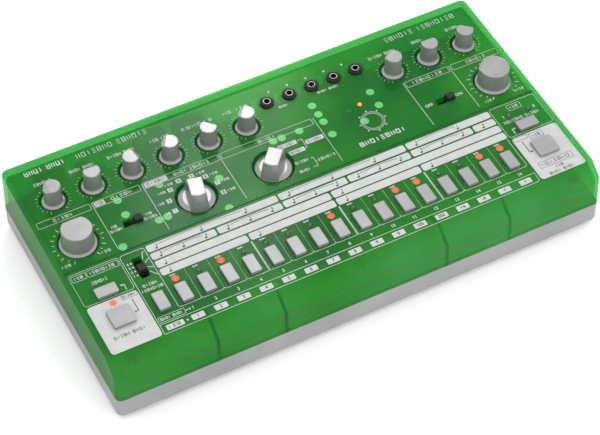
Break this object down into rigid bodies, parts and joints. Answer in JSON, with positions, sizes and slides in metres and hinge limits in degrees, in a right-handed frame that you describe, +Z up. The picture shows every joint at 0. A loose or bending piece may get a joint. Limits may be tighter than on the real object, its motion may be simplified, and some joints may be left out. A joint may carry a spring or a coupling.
{
  "type": "drum machine",
  "caption": "Desktop drum machine with step buttons, level knobs, selector switches, patch sockets and a tilted panel in a translucent shell on a grey tray.",
  "frame": {"origin": "centre of the plan outline at the undersides of the feet", "axes": "+X along the width to the player's right, +Y from the player's edge to the back, +Z up"},
  "size_m": [0.305, 0.1588, 0.056],
  "materials": {
    "green_shell": "translucent, gloss",
    "grey_tray": "fine texture",
    "board": "solder resist",
    "control_body": "plain",
    "socket_metal": "plated",
    "dark_plastic": "satin",
    "lamp": "clear tinted",
    "screw": "plain",
    "rubber_foot": "matt",
    "ribbon": "satin",
    "capacitor_can": "bright",
    "knob_grey": "satin",
    "button_grey": "satin"
  },
  "bodies": {
    "case": {"top_shell": "green_shell", "bottom_shell": "grey_tray", "panel_board": "board", "rear_board": "board", "potentiometers": "control_body", "rotary_switches": "control_body", "tact_switches": "control_body", "panel_jacks": "socket_metal", "jack_nuts": "dark_plastic", "rear_jacks": "dark_plastic", "midi_sockets": "dark_plastic", "usb_socket": "socket_metal", "dc_inlet": "dark_plastic", "slide_switch_bodies": "control_body", "power_switch_body": "dark_plastic", "leds": "lamp", "case_screws": "screw", "board_screws": "screw", "rubber_feet": "rubber_foot", "ribbon_cable": "ribbon", "capacitors": "capacitor_can", "chips": "dark_plastic"},
    "knob_accent": {"knob_accent": "knob_grey"},
    "knob_bass": {"knob_bass": "knob_grey"},
    "knob_snare": {"knob_snare": "knob_grey"},
    "knob_tom": {"knob_tom": "knob_grey"},
    "knob_cymbal": {"knob_cymbal": "knob_grey"},
    "knob_hat": {"knob_hat": "knob_grey"},
    "knob_drive": {"knob_drive": "knob_grey"},
    "knob_tone": {"knob_tone": "knob_grey"},
    "knob_level": {"knob_level": "knob_grey"},
    "tempo_knob": {"tempo_knob": "knob_grey"},
    "volume_knob": {"volume_knob": "knob_grey"},
    "instrument_selector": {"instrument_selector": "knob_grey"},
    "mode_selector": {"mode_selector": "knob_grey"},
    "step_button_01": {"step_button_01": "button_grey"},
    "step_button_02": {"step_button_02": "button_grey"},
    "step_button_03": {"step_button_03": "button_grey"},
    "step_button_04": {"step_button_04": "button_grey"},
    "step_button_05": {"step_button_05": "button_grey"},
    "step_button_06": {"step_button_06": "button_grey"},
    "step_button_07": {"step_button_07": "button_grey"},
    "step_button_08": {"step_button_08": "button_grey"},
    "step_button_09": {"step_button_09": "button_grey"},
    "step_button_10": {"step_button_10": "button_grey"},
    "step_button_11": {"step_button_11": "button_grey"},
    "step_button_12": {"step_button_12": "button_grey"},
    "step_button_13": {"step_button_13": "button_grey"},
    "step_button_14": {"step_button_14": "button_grey"},
    "step_button_15": {"step_button_15": "button_grey"},
    "step_button_16": {"step_button_16": "button_grey"},
    "function_button": {"function_button": "button_grey"},
    "clear_button": {"clear_button": "button_grey"},
    "start_button": {"start_button": "button_grey"},
    "group_button": {"group_button": "button_grey"},
    "tap_button": {"tap_button": "button_grey"},
    "voice_switch_slider": {"voice_switch_slider": "dark_plastic"},
    "drive_switch_slider": {"drive_switch_slider": "dark_plastic"},
    "scale_switch_slider": {"scale_switch_slider": "dark_plastic"},
    "power_switch_rocker": {"power_switch_rocker": "dark_plastic"}
  },
  "joints": [
    {"name": "knob_accent_turn", "type": "hinge", "parent": "case", "child": "knob_accent", "pos_m": [-0.13278, 0.0465, 0.04339], "axis": [0, -0.0223, 0.9998], "range_deg": [-240, 60]},
    {"name": "knob_bass_turn", "type": "hinge", "parent": "case", "child": "knob_bass", "pos_m": [-0.10852, 0.0465, 0.04339], "axis": [0, -0.0223, 0.9998], "range_deg": [-150, 150]},
    {"name": "knob_snare_turn", "type": "hinge", "parent": "case", "child": "knob_snare", "pos_m": [-0.08428, 0.0465, 0.04339], "axis": [0, -0.0223, 0.9998], "range_deg": [-65, 235]},
    {"name": "knob_tom_turn", "type": "hinge", "parent": "case", "child": "knob_tom", "pos_m": [-0.06003, 0.0465, 0.04339], "axis": [0, -0.0223, 0.9998], "range_deg": [-210, 90]},
    {"name": "knob_cymbal_turn", "type": "hinge", "parent": "case", "child": "knob_cymbal", "pos_m": [-0.03578, 0.0465, 0.04339], "axis": [0, -0.0223, 0.9998], "range_deg": [-104, 196]},
    {"name": "knob_hat_turn", "type": "hinge", "parent": "case", "child": "knob_hat", "pos_m": [-0.01153, 0.0465, 0.04339], "axis": [0, -0.0223, 0.9998], "range_deg": [-200, 100]},
    {"name": "knob_drive_turn", "type": "hinge", "parent": "case", "child": "knob_drive", "pos_m": [0.08547, 0.0465, 0.04339], "axis": [0, -0.0223, 0.9998], "range_deg": [-185, 115]},
    {"name": "knob_tone_turn", "type": "hinge", "parent": "case", "child": "knob_tone", "pos_m": [0.10973, 0.0465, 0.04339], "axis": [0, -0.0223, 0.9998], "range_deg": [-150, 150]},
    {"name": "knob_level_turn", "type": "hinge", "parent": "case", "child": "knob_level", "pos_m": [0.13398, 0.0465, 0.04339], "axis": [0, -0.0223, 0.9998], "range_deg": [-110, 190]},
    {"name": "tempo_knob_turn", "type": "hinge", "parent": "case", "child": "tempo_knob", "pos_m": [-0.13278, 0.01251, 0.04263], "axis": [0, -0.0223, 0.9998], "range_deg": [-150, 150]},
    {"name": "volume_knob_turn", "type": "hinge", "parent": "case", "child": "volume_knob", "pos_m": [0.13398, 0.01251, 0.04263], "axis": [0, -0.0223, 0.9998], "range_deg": [-200, 100]},
    {"name": "instrument_selector_turn", "type": "hinge", "parent": "case", "child": "instrument_selector", "pos_m": [-0.06003, 0.01251, 0.04263], "axis": [0, -0.0223, 0.9998], "range_deg": [-90, 120]},
    {"name": "mode_selector_turn", "type": "hinge", "parent": "case", "child": "mode_selector", "pos_m": [-0.01153, 0.01251, 0.04263], "axis": [0, -0.0223, 0.9998], "range_deg": [-90, 0]},
    {"name": "step_button_01_press", "type": "slide", "parent": "case", "child": "step_button_01", "axis": [0, 0.0223, -0.9998], "range_m": [0, 0.0006], "stiffness_N_per_m": 400},
    {"name": "step_button_02_press", "type": "slide", "parent": "case", "child": "step_button_02", "axis": [0, 0.0223, -0.9998], "range_m": [0, 0.0006], "stiffness_N_per_m": 400},
    {"name": "step_button_03_press", "type": "slide", "parent": "case", "child": "step_button_03", "axis": [0, 0.0223, -0.9998], "range_m": [0, 0.0006], "stiffness_N_per_m": 400},
    {"name": "step_button_04_press", "type": "slide", "parent": "case", "child": "step_button_04", "axis": [0, 0.0223, -0.9998], "range_m": [0, 0.0006], "stiffness_N_per_m": 400},
    {"name": "step_button_05_press", "type": "slide", "parent": "case", "child": "step_button_05", "axis": [0, 0.0223, -0.9998], "range_m": [0, 0.0006], "stiffness_N_per_m": 400},
    {"name": "step_button_06_press", "type": "slide", "parent": "case", "child": "step_button_06", "axis": [0, 0.0223, -0.9998], "range_m": [0, 0.0006], "stiffness_N_per_m": 400},
    {"name": "step_button_07_press", "type": "slide", "parent": "case", "child": "step_button_07", "axis": [0, 0.0223, -0.9998], "range_m": [0, 0.0006], "stiffness_N_per_m": 400},
    {"name": "step_button_08_press", "type": "slide", "parent": "case", "child": "step_button_08", "axis": [0, 0.0223, -0.9998], "range_m": [0, 0.0006], "stiffness_N_per_m": 400},
    {"name": "step_button_09_press", "type": "slide", "parent": "case", "child": "step_button_09", "axis": [0, 0.0223, -0.9998], "range_m": [0, 0.0006], "stiffness_N_per_m": 400},
    {"name": "step_button_10_press", "type": "slide", "parent": "case", "child": "step_button_10", "axis": [0, 0.0223, -0.9998], "range_m": [0, 0.0006], "stiffness_N_per_m": 400},
    {"name": "step_button_11_press", "type": "slide", "parent": "case", "child": "step_button_11", "axis": [0, 0.0223, -0.9998], "range_m": [0, 0.0006], "stiffness_N_per_m": 400},
    {"name": "step_button_12_press", "type": "slide", "parent": "case", "child": "step_button_12", "axis": [0, 0.0223, -0.9998], "range_m": [0, 0.0006], "stiffness_N_per_m": 400},
    {"name": "step_button_13_press", "type": "slide", "parent": "case", "child": "step_button_13", "axis": [0, 0.0223, -0.9998], "range_m": [0, 0.0006], "stiffness_N_per_m": 400},
    {"name": "step_button_14_press", "type": "slide", "parent": "case", "child": "step_button_14", "axis": [0, 0.0223, -0.9998], "range_m": [0, 0.0006], "stiffness_N_per_m": 400},
    {"name": "step_button_15_press", "type": "slide", "parent": "case", "child": "step_button_15", "axis": [0, 0.0223, -0.9998], "range_m": [0, 0.0006], "stiffness_N_per_m": 400},
    {"name": "step_button_16_press", "type": "slide", "parent": "case", "child": "step_button_16", "axis": [0, 0.0223, -0.9998], "range_m": [0, 0.0006], "stiffness_N_per_m": 400},
    {"name": "function_button_press", "type": "slide", "parent": "case", "child": "function_button", "axis": [0, 0.0223, -0.9998], "range_m": [0, 0.0006], "stiffness_N_per_m": 400},
    {"name": "clear_button_press", "type": "slide", "parent": "case", "child": "clear_button", "axis": [0, 0.0223, -0.9998], "range_m": [0, 0.0006], "stiffness_N_per_m": 400},
    {"name": "start_button_press", "type": "slide", "parent": "case", "child": "start_button", "axis": [0, 0.0223, -0.9998], "range_m": [0, 0.0006], "stiffness_N_per_m": 400},
    {"name": "group_button_press", "type": "slide", "parent": "case", "child": "group_button", "axis": [0, 0.0223, -0.9998], "range_m": [0, 0.0006], "stiffness_N_per_m": 400},
    {"name": "tap_button_press", "type": "slide", "parent": "case", "child": "tap_button", "axis": [0, 0.0223, -0.9998], "range_m": [0, 0.0006], "stiffness_N_per_m": 400},
    {"name": "voice_switch_slider_slide", "type": "slide", "parent": "case", "child": "voice_switch_slider", "axis": [1, 0, 0], "range_m": [-0.0064, 0]},
    {"name": "drive_switch_slider_slide", "type": "slide", "parent": "case", "child": "drive_switch_slider", "axis": [1, 0, 0], "range_m": [-0.0064, 0]},
    {"name": "scale_switch_slider_slide", "type": "slide", "parent": "case", "child": "scale_switch_slider", "axis": [0, 0.9998, 0.0223], "range_m": [-0.00293, 0.00586]},
    {"name": "power_switch_rock", "type": "hinge", "parent": "case", "child": "power_switch_rocker", "pos_m": [-0.124, 0.0742, 0.0258], "axis": [0, 0, 1], "range_deg": [-14, 0]}
  ]
}
